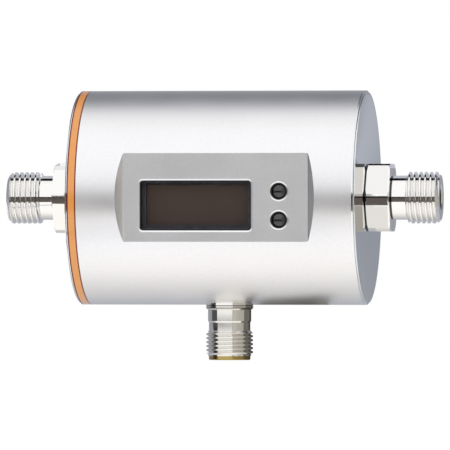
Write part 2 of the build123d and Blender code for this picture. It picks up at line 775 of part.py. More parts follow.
# Push buttons: each is a domed cap and its plunger, in a rubber seal, over a switch on the display board
button_front_y = flat_y - button_recess
seal_front_y = flat_y - seal_recess
seal_back_y = wall_back_y - seal_flange_thickness
button_collar_front_y = seal_back_y - collar_gap
button_collar_back_y = button_collar_front_y - button_collar_thickness
switch_front_y = board_front_y + switch_height
plunger_front_y = switch_front_y + plunger_stand_out
plunger_back_y = switch_front_y - button_travel
button_r = button_diameter / 2
dome_r = button_dome_diameter / 2
dome_radius = (dome_r**2 + button_dome**2) / (2 * button_dome)
dome_edge_y = button_front_y - button_dome
shoulder_y = dome_edge_y - button_shoulder
for name, button_z in button_places.items():
    axis_plane = Plane(origin=(button_x, 0, button_z), x_dir=(1, 0, 0), z_dir=(0, 0, 1))
    button_axis = Axis((button_x, 0, button_z), (0, 1, 0))

    with BuildPart() as button:
        with BuildSketch(axis_plane):
            with BuildLine():
                RadiusArc((0, -button_front_y), (dome_r, -dome_edge_y), dome_radius)
                Polyline(
                    (dome_r, -dome_edge_y),
                    (button_r, -shoulder_y),
                    (button_r, -button_collar_front_y),
                    (button_r + button_collar_width, -button_collar_front_y),
                    (button_r + button_collar_width, -button_collar_back_y),
                    (button_r, -button_collar_back_y),
                    (button_r, -plunger_front_y),
                    (0, -plunger_front_y),
                    (0, -button_front_y),
                )
            make_face()
        revolve(axis=button_axis)
    button.part.label = f"button_{name}"
    export_step(button.part, f"parts/button_{name}.step")

    with BuildPart() as switch_plunger:
        with BuildSketch(Plane((button_x, -plunger_back_y, button_z), (1, 0, 0), (0, -1, 0))):
            Circle(plunger_diameter / 2)
        extrude(amount=plunger_front_y - plunger_back_y)
    switch_plunger.part.label = f"switch_plunger_{name}"
    export_step(switch_plunger.part, f"parts/switch_plunger_{name}.step")

    with BuildPart() as button_seal:
        seal_hole_r = button_r + button_running_gap
        with BuildSketch(axis_plane):
            with BuildLine():
                Polyline(
                    (seal_hole_r, -seal_front_y),
                    (button_hole / 2, -seal_front_y),
                    (button_hole / 2, -wall_back_y),
                    (button_hole / 2 + seal_flange_width, -wall_back_y),
                    (button_hole / 2 + seal_flange_width, -seal_back_y),
                    (seal_hole_r, -seal_back_y),
                    close=True,
                )
            make_face()
        revolve(axis=button_axis)
    button_seal.part.label = f"button_seal_{name}"
    export_step(button_seal.part, f"parts/button_seal_{name}.step")

    with BuildPart() as switch:
        with BuildSketch(Plane((button_x, -board_front_y, button_z), (1, 0, 0), (0, -1, 0))):
            Rectangle(switch_size, switch_size)
        extrude(amount=switch_height)
        with BuildSketch(Plane((button_x, -switch_front_y, button_z), (1, 0, 0), (0, -1, 0))):
            Circle(plunger_diameter / 2 + button_running_gap)
        extrude(amount=-2 * button_travel - plunger_end_gap, mode=Mode.SUBTRACT)
    switch.part.label = f"switch_{name}"
    export_step(switch.part, f"parts/switch_{name}.step")

# Connector shell: a turned barrel on the housing, its collar saddled on the round tube
connector_plane = Plane(origin=(connector_x, 0, 0), x_dir=(1, 0, 0), z_dir=(0, -1, 0))
connector_axis = Axis((connector_x, 0, 0), (0, 0, 1))
socket_r = socket_bore / 2
with BuildPart() as connector_shell:
    with BuildSketch(connector_plane):
        with BuildLine():
            edge_r = connector_collar_diameter / 2
            grooves = [
                (edge_r - depth, groove_z + shift)
                for groove_z in collar_grooves_z
                for depth, shift in ((0, collar_groove_half), (collar_groove_depth, 0), (0, -collar_groove_half))
            ]
            Polyline(
                (0, saddle_z + wall),
                (edge_r, saddle_z + wall),
                *grooves,
                (barrel_diameter / 2, barrel_start_z),
                (0, barrel_start_z),
                close=True,
            )
        make_face()
    revolve(axis=connector_axis)
    with BuildSketch(Plane.YZ.offset(tube_start)):
        Circle(body_r)
    extrude(amount=tube_end - tube_start, mode=Mode.SUBTRACT)
    with BuildSketch(connector_plane):
        with BuildLine():
            Polyline(
                (socket_r, stem_end_z),
                (stem_diameter / 2, stem_end_z),
                (stem_diameter / 2, barrel_start_z),
                (barrel_diameter / 2, barrel_start_z),
                (barrel_diameter / 2, barrel_end_z),
                (connector_neck_diameter / 2, neck_start_z),
                (connector_neck_diameter / 2, plug_thread_start_z),
                (plug_thread_diameter / 2, plug_thread_start_z),
                (plug_thread_diameter / 2, plug_thread_end_z + plug_thread_chamfer),
                (plug_thread_diameter / 2 - plug_thread_chamfer, plug_thread_end_z),
                (plug_thread_diameter / 2 - plug_thread_chamfer, shell_end_z),
                (socket_r, shell_end_z),
                close=True,
            )
        make_face()
    revolve(axis=connector_axis)
    with BuildSketch(Plane.XY.offset(shell_end_z)):
        with Locations((connector_x, 0)):
            Circle(socket_r)
    extrude(amount=stem_end_z - shell_end_z, mode=Mode.SUBTRACT)
connector_shell.part.label = "connector_shell"
export_step(connector_shell.part, "parts/connector_shell.step")

# Brass sleeve that lines the socket, with the flange that shows below the thread
with BuildPart() as connector_sleeve:
    with BuildSketch(Plane.XY.offset(sleeve_end_z)):
        with Locations((connector_x, 0)):
            Circle(sleeve_flange_diameter / 2)
    extrude(amount=sleeve_flange)
    chamfer(connector_sleeve.edges().group_by(Axis.Z)[0], length=sleeve_bevel)
    with BuildSketch(Plane.XY.offset(shell_end_z)):
        with Locations((connector_x, 0)):
            Circle(socket_r)
    extrude(amount=carrier_face_z - shell_end_z)
    with BuildSketch(Plane.XY.offset(sleeve_end_z)):
        with Locations((connector_x, 0)):
            Circle(socket_r - sleeve_wall)
    extrude(amount=carrier_face_z - sleeve_end_z, mode=Mode.SUBTRACT)
connector_sleeve.part.label = "connector_sleeve"
export_step(connector_sleeve.part, "parts/connector_sleeve.step")

# Contact carrier, with a groove for its seal and holes for the pins
carrier_groove_r = socket_r - (1 - ring_squeeze) * carrier_ring_section
carrier_ring_z = (carrier_face_z + carrier_back_z) / 2
with BuildPart() as contact_carrier:
    with BuildSketch(Plane.XY.offset(carrier_face_z)):
        with Locations((connector_x, 0)):
            Circle(socket_r)
    extrude(amount=carrier_length)
    with BuildSketch(connector_plane):
        with Locations(((carrier_groove_r + socket_r) / 2, carrier_ring_z)):
            Rectangle(socket_r - carrier_groove_r, ring_groove_share * carrier_ring_section)
    revolve(axis=connector_axis, mode=Mode.SUBTRACT)
    with BuildSketch(Plane.XY.offset(carrier_face_z)):
        with Locations((connector_x, 0)):
            with PolarLocations(pin_circle / 2, pin_count):
                Circle(pin_diameter / 2)
    extrude(amount=carrier_length, mode=Mode.SUBTRACT)
contact_carrier.part.label = "contact_carrier"
export_step(contact_carrier.part, "parts/contact_carrier.step")

# Round seal in the carrier's groove
half_width = (1 - ring_squeeze) * carrier_ring_section / 2
half_height = (1 + ring_squeeze) * carrier_ring_section / 2
with BuildPart() as carrier_o_ring:
    with BuildSketch(connector_plane):
        with Locations((socket_r - half_width, carrier_ring_z)):
            Ellipse(half_width, half_height)
    revolve(axis=connector_axis)
carrier_o_ring.part.label = "carrier_o_ring"
export_step(carrier_o_ring.part, "parts/carrier_o_ring.step")

# Contact pins, four alike, through the carrier
pin_tip_z = shell_end_z + pin_tip_recess
with BuildPart() as contact_pins:
    with BuildSketch(Plane.XY.offset(pin_tip_z)):
        with Locations((connector_x, 0)):
            with PolarLocations(pin_circle / 2, pin_count):
                Circle(pin_diameter / 2)
    extrude(amount=carrier_back_z + pin_tail - pin_tip_z)
    chamfer(contact_pins.edges().group_by(Axis.Z)[0], length=pin_chamfer)
contact_pins.part.label = "contact_pins"
export_step(contact_pins.part, "parts/contact_pins.step")
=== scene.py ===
"""Looks of a small electromagnetic flow meter with threaded nipples, a display and a plug connector.

Lengths are in metres. X runs along the flow, -Y is the display side and +Z is up.
"""

import json
from math import cos, pi, radians, sin, tan

import bmesh
import bpy
import numpy as np
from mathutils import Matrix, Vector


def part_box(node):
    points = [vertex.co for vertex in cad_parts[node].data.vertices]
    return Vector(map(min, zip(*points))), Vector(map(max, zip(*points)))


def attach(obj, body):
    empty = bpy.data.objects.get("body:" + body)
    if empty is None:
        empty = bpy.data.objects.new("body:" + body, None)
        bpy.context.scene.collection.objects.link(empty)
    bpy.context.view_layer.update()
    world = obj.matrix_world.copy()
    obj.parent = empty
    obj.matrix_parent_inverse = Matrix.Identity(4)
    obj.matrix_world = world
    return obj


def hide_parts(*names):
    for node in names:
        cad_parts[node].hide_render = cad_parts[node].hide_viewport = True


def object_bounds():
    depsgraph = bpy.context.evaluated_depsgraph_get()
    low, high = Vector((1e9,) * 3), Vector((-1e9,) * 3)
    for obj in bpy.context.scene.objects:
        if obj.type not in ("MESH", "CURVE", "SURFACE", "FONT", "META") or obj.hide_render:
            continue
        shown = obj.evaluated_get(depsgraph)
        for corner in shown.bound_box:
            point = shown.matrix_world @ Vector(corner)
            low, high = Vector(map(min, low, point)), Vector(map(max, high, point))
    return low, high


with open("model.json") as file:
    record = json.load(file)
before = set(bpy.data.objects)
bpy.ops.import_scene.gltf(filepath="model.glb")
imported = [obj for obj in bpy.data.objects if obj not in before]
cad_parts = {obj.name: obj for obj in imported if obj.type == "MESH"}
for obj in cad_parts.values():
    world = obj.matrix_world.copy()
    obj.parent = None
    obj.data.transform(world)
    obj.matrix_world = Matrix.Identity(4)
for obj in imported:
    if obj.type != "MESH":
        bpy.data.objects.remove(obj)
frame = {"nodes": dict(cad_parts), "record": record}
cad_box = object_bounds()


# Camera.
# A long lens at the meter's own height, a little to the right of the display, as in a catalogue photograph.
# The photograph's scale and its pixel on the flow axis give the lens and the aim.
mm = 0.001
camera_turn = radians(8.5)
camera_distance = 1.9
sensor_width = 36
photo_pixels = 450
pixel_size = 0.2524 * mm
flow_axis_pixel = (224.75, 197.75)
sideways = (photo_pixels / 2 - flow_axis_pixel[0]) * pixel_size
aim = np.array([
    sideways * cos(camera_turn),
    sideways * sin(camera_turn),
    (flow_axis_pixel[1] - photo_pixels / 2) * pixel_size,
])

camera_data = bpy.data.cameras.new("camera")
camera_data.sensor_width = sensor_width
camera_data.lens = sensor_width * camera_distance / (photo_pixels * pixel_size)
camera_data.clip_end = 100
camera = bpy.data.objects.new("camera", camera_data)
camera.location = aim + camera_distance * np.array([sin(camera_turn), -cos(camera_turn), 0])
camera.rotation_euler = (pi / 2, 0, camera_turn)
bpy.context.scene.collection.objects.link(camera)
bpy.context.scene.camera = camera
bpy.context.scene.view_settings.view_transform = "Standard"


# Studio.
# A white tent. Behind the lens it has a dark slit at the meter's height, and its sides and back are grey.
# Polished steel shows these as its white, black and grey bands, and satin steel as soft shading.
def srgb(code):
    """Linear red, green, blue and alpha of an sRGB hex colour."""
    share = np.array([int(code[i : i + 2], 16) for i in (1, 3, 5)]) / 255
    linear = np.where(share <= 0.04045, share / 12.92, ((share + 0.055) / 1.055) ** 2.4)
    return (*linear, 1.0)


def add(tree, kind, stops=(), **settings):
    """Adds a node. Each setting sets or links the input of its name, or else sets the node's property."""
    made = tree.nodes.new(kind)
    inputs = {socket.identifier.replace(" ", "_"): socket for socket in made.inputs}
    for name, value in settings.items():
        if isinstance(value, bpy.types.NodeSocket):
            tree.links.new(value, inputs[name])
        elif name in inputs:
            inputs[name].default_value = value
        else:
            setattr(made, name, value)
    # A new ramp comes with two stops, and the others are added.
    for number, (position, colour) in enumerate(stops):
        elements = made.color_ramp.elements
        element = elements[number] if number < 2 else elements.new(position)
        element.position = position
        element.color = colour
    return made


def rise(degrees):
    """Place on a ramp, from straight down to straight up, of a direction so far above the horizon."""
    return 0.5 + 0.5 * sin(radians(degrees))


def turn(degrees):
    """Place on a ramp round the horizon, from behind, of a direction so far from the display side."""
    return 0.5 + degrees / 360


def light(level, tone="#FFFFFF"):
    """A level of light, with the tint of an sRGB hex colour."""
    return (*(level * np.array(srgb(tone)[:3])), 1.0)


warm = "#FFFCF7"
brown = "#FFEFE2"
cool = "#F1F5FF"
beige = "#FFFAEE"
world = bpy.data.worlds.new("studio")
bpy.context.scene.world = world
world.use_nodes = True
sky = world.node_tree
sky.nodes.clear()
direction = add(sky, "ShaderNodeTexCoord").outputs["Generated"]
part_of = add(sky, "ShaderNodeSeparateXYZ", Vector=direction).outputs
toward_lens = add(sky, "ShaderNodeMath", operation="MULTIPLY", Value=part_of["Y"],
                  Value_001=-1.0).outputs["Value"]
bearing = add(sky, "ShaderNodeMath", operation="ARCTAN2", Value=part_of["X"],
              Value_001=toward_lens).outputs["Value"]
up = add(sky, "ShaderNodeMapRange", Value=part_of["Z"], From_Min=-1.0, From_Max=1.0).outputs["Result"]
around = add(sky, "ShaderNodeMapRange", Value=bearing, From_Min=-pi, From_Max=pi).outputs["Result"]

# The tent in front, from below to above, with the slit.
slit = add(sky, "ShaderNodeValToRGB", Fac=up, stops=[
    (rise(-90), light(1.1, warm)),
    (rise(-60), light(1.18, warm)),
    (rise(-15.5), light(1.18, warm)),
    (rise(-13.9), light(0.13, brown)),
    (rise(-1), light(0.10, brown)),
    (rise(-0.5), light(0.01)),
    (rise(4), light(0.01)),
    (rise(5.2), light(1.12)),
    (rise(90), light(1.12)),
]).outputs["Color"]

# The tent behind, from below to above.
back = add(sky, "ShaderNodeValToRGB", Fac=up, stops=[
    (rise(-90), light(0.98, warm)),
    (rise(-60), light(0.74, warm)),
    (rise(-30), light(0.54, cool)),
    (rise(-4), light(0.54, cool)),
    (rise(0), light(0.38, cool)),
    (rise(20), light(0.38, cool)),
    (rise(34), light(0.17, cool)),
    (rise(48), light(0.17, cool)),
    (rise(60), light(0.30, cool)),
    (rise(69), light(0.74)),
    (rise(77), light(0.98)),
    (rise(86), light(1.12)),
]).outputs["Color"]

# The tent's sides round the horizon, from behind over the inlet side, the front and the outlet side.
ring = add(sky, "ShaderNodeValToRGB", Fac=around, stops=[
    (turn(-180), light(0.30, cool)),
    (turn(-99), light(0.22, cool)),
    (turn(-97), light(0.02)),
    (turn(-57), light(0.02)),
    (turn(-54), light(1.1)),
    (turn(23), light(1.1)),
    (turn(25), light(0.15)),
    (turn(27), light(0.62, beige)),
    (turn(60), light(0.50, beige)),
    (turn(98), light(0.46, beige)),
    (turn(103), light(0.26, cool)),
    (turn(180), light(0.30, cool)),
]).outputs["Color"]

# Where each of the three holds: the sides near the horizon, the slit in front, and the back behind.
at_sides = add(sky, "ShaderNodeValToRGB", Fac=up, stops=[
    (rise(-38), light(0)),
    (rise(-22), light(1)),
    (rise(22), light(1)),
    (rise(38), light(0)),
]).outputs["Color"]
above = add(sky, "ShaderNodeMix", data_type="RGBA", Factor_Float=at_sides, A_Color=light(1.1, warm),
            B_Color=ring).outputs["Result"]
in_front = add(sky, "ShaderNodeValToRGB", Fac=around, stops=[
    (turn(-60), light(0)),
    (turn(-45), light(1)),
    (turn(22), light(1)),
    (turn(24), light(0)),
]).outputs["Color"]
sides = add(sky, "ShaderNodeMix", data_type="RGBA", Factor_Float=in_front, A_Color=above,
            B_Color=slit).outputs["Result"]
behind = add(sky, "ShaderNodeMapRange", Value=part_of["Y"], From_Min=-0.02,
             From_Max=0.14).outputs["Result"]
tent = add(sky, "ShaderNodeMix", data_type="RGBA", Factor_Float=behind, A_Color=sides,
           B_Color=back).outputs["Result"]

# The lens sees plain white, mirrored rays see the tent, and all other rays see its even light.
rays = add(sky, "ShaderNodeLightPath").outputs
seen = add(sky, "ShaderNodeBackground", Color=light(1), Strength=1.0).outputs["Background"]
mirrored = add(sky, "ShaderNodeBackground", Color=tent, Strength=1.0).outputs["Background"]
soft = add(sky, "ShaderNodeBackground", Color=light(0.9), Strength=1.0).outputs["Background"]
lit = add(sky, "ShaderNodeMixShader", Fac=rays["Is Glossy Ray"], Shader=soft,
          Shader_001=mirrored).outputs[0]
shown = add(sky, "ShaderNodeMixShader", Fac=rays["Is Camera Ray"], Shader=lit, Shader_001=seen).outputs[0]
add(sky, "ShaderNodeOutputWorld", Surface=shown)

# A wide sheet of white paper lies well below the meter. Mirrored rays pass it and meet the tent.
floor_drop = 80 * mm
floor_half = 3.0
floor_level = cad_box[0][2] - floor_drop
floor_mesh = bpy.data.meshes.new("floor")
edge = (-floor_half, floor_half)
floor_mesh.from_pydata([(x, y, floor_level) for x in edge for y in edge], [], [(0, 2, 3, 1)])
floor = bpy.data.objects.new("floor", floor_mesh)
bpy.context.scene.collection.objects.link(floor)
floor.visible_glossy = False


def new_finish(name):
    """A new material and its node tree, emptied."""
    made = bpy.data.materials.new(name)
    made.use_nodes = True
    made.node_tree.nodes.clear()
    return made, made.node_tree


# Paper shows white to the lens, through a glow that only the lens sees, and keeps a faint shadow.
paper, tree = new_finish("white_paper")
sheet = add(tree, "ShaderNodeBsdfDiffuse", Color=srgb("#F2F2F2")).outputs["BSDF"]
to_lens = add(tree, "ShaderNodeLightPath").outputs["Is Camera Ray"]
glow = add(tree, "ShaderNodeEmission", Color=light(1), Strength=0.35).outputs["Emission"]
dark = add(tree, "ShaderNodeEmission", Color=light(0), Strength=0.0).outputs["Emission"]
lens_glow = add(tree, "ShaderNodeMixShader", Fac=to_lens, Shader=dark, Shader_001=glow).outputs[0]
bright = add(tree, "ShaderNodeAddShader", Shader=sheet, Shader_001=lens_glow).outputs[0]
add(tree, "ShaderNodeOutputMaterial", Surface=bright)
floor_mesh.materials.append(paper)


# Drum housing.
# A stainless steel tube with a pressed flat on its front. It is bead-blasted to an even satin, which shows
# the tent as soft bands. Its grain of about 0.1 mm is drawn 0.5 mm coarse so that it shows.
node_objects = frame["nodes"]

# Most values of a noise lie in this span, which is spread over the shades and the roughnesses.
noise_span = {"From_Min": 0.3, "From_Max": 0.7}
unevenness = 0.02


def dress(finish, *names):
    """Gives CAD nodes or new pieces a material."""
    for name in names:
        piece = node_objects.get(name) or bpy.data.objects[name]
        piece.data.materials.clear()
        piece.data.materials.append(finish)


def satin_metal(name, tone, roughness, grain_size=0.5 * mm):
    """A blasted or plated metal: satin, with a fine grain in its tone and its surface."""
    finish, tree = new_finish(name)
    cloud_size = 24 * grain_size
    place = add(tree, "ShaderNodeTexCoord").outputs["Object"]
    grain = add(tree, "ShaderNodeTexNoise", Vector=place, Scale=1 / grain_size,
                Detail=3.0).outputs["Fac"]
    cloud = add(tree, "ShaderNodeTexNoise", Vector=place, Scale=1 / cloud_size,
                Detail=2.0).outputs["Fac"]
    shade = add(tree, "ShaderNodeMapRange", Value=grain, **noise_span, To_Min=0.95,
                To_Max=1.0).outputs["Result"]
    colour = add(tree, "ShaderNodeMix", data_type="RGBA", blend_type="MULTIPLY", Factor_Float=1.0,
                 A_Color=srgb(tone), B_Color=shade).outputs["Result"]
    gloss = add(tree, "ShaderNodeMapRange", Value=cloud, **noise_span, To_Min=roughness - unevenness,
                To_Max=roughness + unevenness).outputs["Result"]
    relief = add(tree, "ShaderNodeBump", Height=grain, Strength=0.1,
                 Distance=0.02 * mm).outputs["Normal"]
    metal = add(tree, "ShaderNodeBsdfPrincipled", Base_Color=colour, Metallic=1.0, Roughness=gloss,
                Normal=relief).outputs["BSDF"]
    add(tree, "ShaderNodeOutputMaterial", Surface=metal)
    return finish


dress(satin_metal("blasted_stainless_steel", "#F3F3F6", 0.36), "housing_tube")


# Seal ring.
# A flush ring of orange moulded elastomer, squeezed between the inlet cap and the tube. It is smooth, with
# the shine of a moulding. Its bevelled edges carry painted shade in dark red-brown, where the two fine
# grooves beside the steel lie in shade.
def with_painted_shade(tree, colour, place, bands, tone, axis="X"):
    """Painted shade on a colour: dark in some bands, each a distance from the middle and a half width."""
    along = add(tree, "ShaderNodeSeparateXYZ", Vector=place).outputs[axis]
    distance = add(tree, "ShaderNodeMath", operation="ABSOLUTE", Value=along).outputs["Value"]
    for centre, half in bands:
        inside = add(tree, "ShaderNodeMath", operation="COMPARE", Value=distance, Value_001=centre,
                     Value_002=half).outputs["Value"]
        colour = add(tree, "ShaderNodeMix", data_type="RGBA", Factor_Float=inside, A_Color=colour,
                     B_Color=srgb(tone)).outputs["Result"]
    return colour


def plastic(name, tone, roughness, deep=0.93, coat=0.0, bands=(), painted_shade_tone="#000000"):
    """A plastic, rubber or lacquer: its tone clouds a little, and its skin has a fine even grain."""
    finish, tree = new_finish(name)
    grain_size = 0.4 * mm
    cloud_size = 12 * grain_size
    place = add(tree, "ShaderNodeTexCoord").outputs["Object"]
    grain = add(tree, "ShaderNodeTexNoise", Vector=place, Scale=1 / grain_size,
                Detail=2.0).outputs["Fac"]
    cloud = add(tree, "ShaderNodeTexNoise", Vector=place, Scale=1 / cloud_size,
                Detail=2.0).outputs["Fac"]
    shade = add(tree, "ShaderNodeMapRange", Value=cloud, **noise_span, To_Min=deep,
                To_Max=1.0).outputs["Result"]
    colour = add(tree, "ShaderNodeMix", data_type="RGBA", blend_type="MULTIPLY", Factor_Float=1.0,
                 A_Color=srgb(tone), B_Color=shade).outputs["Result"]
    colour = with_painted_shade(tree, colour, place, bands, painted_shade_tone)
    relief = add(tree, "ShaderNodeBump", Height=grain, Strength=0.15,
                 Distance=0.02 * mm).outputs["Normal"]
    body = add(tree, "ShaderNodeBsdfPrincipled", Base_Color=colour, Roughness=roughness, IOR=1.5,
               Coat_Weight=coat, Coat_Roughness=0.1, Normal=relief).outputs["BSDF"]
    add(tree, "ShaderNodeOutputMaterial", Surface=body)
    return finish


# The ring lies on the negative side. Its bands of painted shade are given by their distance from the
# middle.
ring_low, ring_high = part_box("seal_ring")
ring_shade_half = 0.17 * mm
painted_ring_shade = ((-ring_low[0] - ring_shade_half, ring_shade_half), (-ring_high[0] + ring_shade_half, ring_shade_half))
elastomer = plastic("orange_elastomer", "#FBA650", 0.25, coat=0.9, bands=painted_ring_shade, painted_shade_tone="#8A2E0A")
dress(elastomer, "seal_ring")


# Nipples.
# Turned from round stainless bar: a G 1/4 thread, a neck, and a hexagon and a collar milled on the bar, with
# a groove between them. They are polished, and mirror the tent in sharp bands. Their turning lines, about
# 0.1 mm apart, are drawn 0.3 mm apart so that they show.
def closed_piece(name, grid, smooth_from=0, smooth_rows=0):
    """A piece with one closed skin through a grid of points that joins up in both directions.

    Its faces point outwards: the volume that they enclose, summed over tetrahedra from the origin, is
    positive. Edges over the sharp angle stay crisp, apart from those within a run of smooth rows.
    """
    sharp_angle = radians(18)
    same_point = 1e-8
    rows, columns = grid.shape[:2]
    at = np.arange(rows * columns).reshape(rows, columns)
    ahead = np.roll(at, -1, 0)
    quads = np.stack([at, ahead, np.roll(ahead, -1, 1), np.roll(at, -1, 1)], axis=-1).reshape(-1, 4)
    points = grid.reshape(-1, 3)
    a, b, c, d = (points[quads[:, k]] for k in range(4))
    if (a * (np.cross(b, c) + np.cross(c, d))).sum() < 0:
        quads = quads[:, ::-1]
    mesh = bpy.data.meshes.new(name)
    mesh.from_pydata(points, [], quads)
    mesh.shade_smooth()
    mesh.set_sharp_from_angle(angle=sharp_angle)
    ends = np.empty(2 * len(mesh.edges), dtype=np.int32)
    mesh.edges.foreach_get("vertices", ends)
    row_of = ends.reshape(-1, 2) // columns
    crisp = np.empty(len(mesh.edges), dtype=bool)
    mesh.attributes["sharp_edge"].data.foreach_get("value", crisp)
    crisp &= ~((row_of > smooth_from) & (row_of < smooth_from + smooth_rows - 1)).all(axis=1)
    mesh.attributes["sharp_edge"].data.foreach_set("value", crisp)
    shaped = bmesh.new()
    shaped.from_mesh(mesh)
    bmesh.ops.remove_doubles(shaped, verts=shaped.verts, dist=same_point)
    shaped.to_mesh(mesh)
    shaped.free()
    piece = bpy.data.objects.new(name, mesh)
    bpy.context.scene.collection.objects.link(piece)
    return piece


def thread_form(turns):
    """Height of a rounded V thread, from 0 at its root to 1 at its crest, over a number of turns.

    It is a steep triangle wave, cut off at a narrow root and a wide crest, and rounded by a share of cosine.
    """
    steepness = 1.5
    root_cut = 0.07
    rounding = 0.5
    triangle = 1 - np.abs(2 * (turns % 1) - 1)
    cut = np.clip(triangle * steepness - root_cut, 0, 1)
    return (1 - rounding) * cut + rounding * (0.5 - 0.5 * np.cos(pi * cut))


def turned_metal(name, tone, roughness, axis="X", line_gap=0.3 * mm, wave_type="BANDS", bands=()):
    """A turned or wound metal: bright, with fine lines round its axis.

    On a round bar the lines follow each other along it, and on a face they are rings about the axis.
    Its bands are painted shade, a dark grey where its cut grooves and corners lie in shade. A wave texture
    of scale 1 repeats every 0.314 m.
    """
    finish, tree = new_finish(name)
    wave_length = 0.314
    smear_size = 3 * mm
    place = add(tree, "ShaderNodeTexCoord").outputs["Object"]
    lines = add(tree, "ShaderNodeTexWave", Vector=place, wave_type=wave_type, bands_direction=axis,
                rings_direction=axis, Scale=wave_length / line_gap, Distortion=0.4, Detail=1.0,
                Detail_Scale=2.0).outputs["Fac"]
    smear = add(tree, "ShaderNodeTexNoise", Vector=place, Scale=1 / smear_size,
                Detail=2.0).outputs["Fac"]
    gloss = add(tree, "ShaderNodeMapRange", Value=smear, **noise_span, To_Min=roughness - unevenness,
                To_Max=roughness + unevenness).outputs["Result"]
    relief = add(tree, "ShaderNodeBump", Height=lines, Strength=0.05,
                 Distance=0.01 * mm).outputs["Normal"]
    # Its bands are painted shade, in a dark grey.
    colour = with_painted_shade(tree, srgb(tone), place, bands, "#48484A", axis)
    metal = add(tree, "ShaderNodeBsdfPrincipled", Base_Color=colour, Metallic=1.0, Roughness=gloss,
                Normal=relief).outputs["BSDF"]
    add(tree, "ShaderNodeOutputMaterial", Surface=metal)
    return finish


mounts = {mount["name"]: mount for mount in frame["record"]["mounts"]}
nipple_low, nipple_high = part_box("outlet_nipple")
shank_start, nipple_end = nipple_low[0], nipple_high[0]
bar_radius, flat_radius = nipple_high[1], nipple_high[2]
rim_depth = 3.3 * mm
plate_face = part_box("outlet_end_plate")[1][0] - rim_depth
crest_clearance = 0.08 * mm
pipe_crest = mounts["outlet_thread"]["dims"]["r_mm"] * mm - crest_clearance
pipe_bore = mounts["flow_bore"]["dims"]["r_mm"] * mm
bore_chamfer = 0.4 * mm

# G 1/4 has 19 threads to the inch, and its form of 55 degrees is 0.6403 of the pitch deep.
inch = 25.4 * mm
pipe_pitch = inch / 19
pipe_depth = 0.6403 * pipe_pitch
pipe_root = pipe_crest - pipe_depth

# The stretches of the nipple follow each other from the shank's end inside the housing to the thread's end.
shank_radius = 7.0 * mm
seat_radius = 5.0 * mm
seat_depth = 6.0 * mm
seat_end = shank_start + seat_depth
collar_width = 3.25 * mm
groove_width = 0.5 * mm
hex_width = 5.85 * mm
pipe_neck_length = 3.75 * mm
collar_end = plate_face + collar_width
hex_start = collar_end + groove_width
hex_end = hex_start + hex_width
thread_start = hex_end + pipe_neck_length
groove_depth = 0.75 * mm
groove_radius = flat_radius - groove_depth
neck_radius = 5.55 * mm
thread_runout = 0.45 * mm
end_chamfer = 0.86 * mm
bevel_angle = radians(30)
bevel_radius = 9.0 * mm
bevel_height = (bar_radius - bevel_radius) * tan(bevel_angle)
bevel_rows = 5
rows_per_pitch = 24
side_turn = 60
column_turn = 2


def nipple(name, side, hex_turn, thread_turn):
    """One closed turned skin: a profile carried round the flow axis, cut back to the flats and the thread.

    At each point the radius is the least of the round bar, the flat's distance over the cosine of the angle
    from its middle, and the bevel's cone. In the thread it follows the thread's height at x / pitch less
    angle / turn. Extra columns stand where the flats meet the strips of round bar at the corners. The side
    is 1 at the outlet, and -1 at the inlet, whose skin is turned half round Z. The hexagon's turn is in
    degrees, and the thread's in whole turns.
    """
    strip = side_turn / 2 - np.degrees(np.arccos(flat_radius / bar_radius))
    across_strip = strip * np.array([-1, -0.6, -0.25, 0.25, 0.6, 1])
    corners = (side_turn * np.arange(6)[:, None] + hex_turn + across_strip).ravel()
    columns = np.concatenate([np.arange(0, 360, column_turn), corners % 360])
    angle = np.radians(np.unique(columns.round(decimals=6)))
    off_flat = np.radians((np.degrees(angle) - hex_turn) % side_turn - side_turn / 2)
    flats = np.minimum(bar_radius, flat_radius / np.cos(off_flat))
    from_face = np.linspace(0, bevel_height, bevel_rows)
    cone = (bevel_radius + from_face / tan(bevel_angle))[:, None]
    bevelled = np.minimum(flats[None, :], cone)
    row_count = int(rows_per_pitch * (nipple_end - thread_start) / pipe_pitch)
    thread_rows = np.linspace(nipple_end, thread_start, row_count)
    helix = thread_rows[:, None] / pipe_pitch - angle[None, :] / (2 * pi) + thread_turn
    threaded = pipe_root + (pipe_crest - pipe_root) * thread_form(helix)
    start_cone = pipe_crest - end_chamfer + (nipple_end - thread_rows)
    relief_cone = neck_radius + (thread_rows - thread_start) * (pipe_crest - neck_radius) / thread_runout
    threaded = np.minimum(threaded, np.minimum(start_cone, relief_cone)[:, None])
    inner = [
        (shank_start, seat_radius),
        (seat_end, seat_radius),
        (seat_end, pipe_bore),
        (nipple_end - bore_chamfer, pipe_bore),
        (nipple_end, pipe_bore + bore_chamfer),
    ]
    blank = np.ones_like(angle)
    reach = np.concatenate([
        [radius * blank for _, radius in inner],
        threaded,
        [neck_radius * blank],
        bevelled,
        bevelled[::-1],
        [groove_radius * blank, groove_radius * blank],
        bevelled,
        [flats, shank_radius * blank, shank_radius * blank],
    ])
    along = np.concatenate([
        [x for x, _ in inner],
        thread_rows,
        [hex_end],
        hex_end - from_face,
        hex_start + from_face[::-1],
        [hex_start, collar_end],
        collar_end - from_face,
        [plate_face, plate_face, shank_start],
    ])
    grid = np.empty((*reach.shape, 3))
    grid[..., 0] = side * along[:, None]
    grid[..., 1] = side * reach * np.cos(angle)
    grid[..., 2] = reach * np.sin(angle)
    return closed_piece(name, grid, len(inner), len(thread_rows))


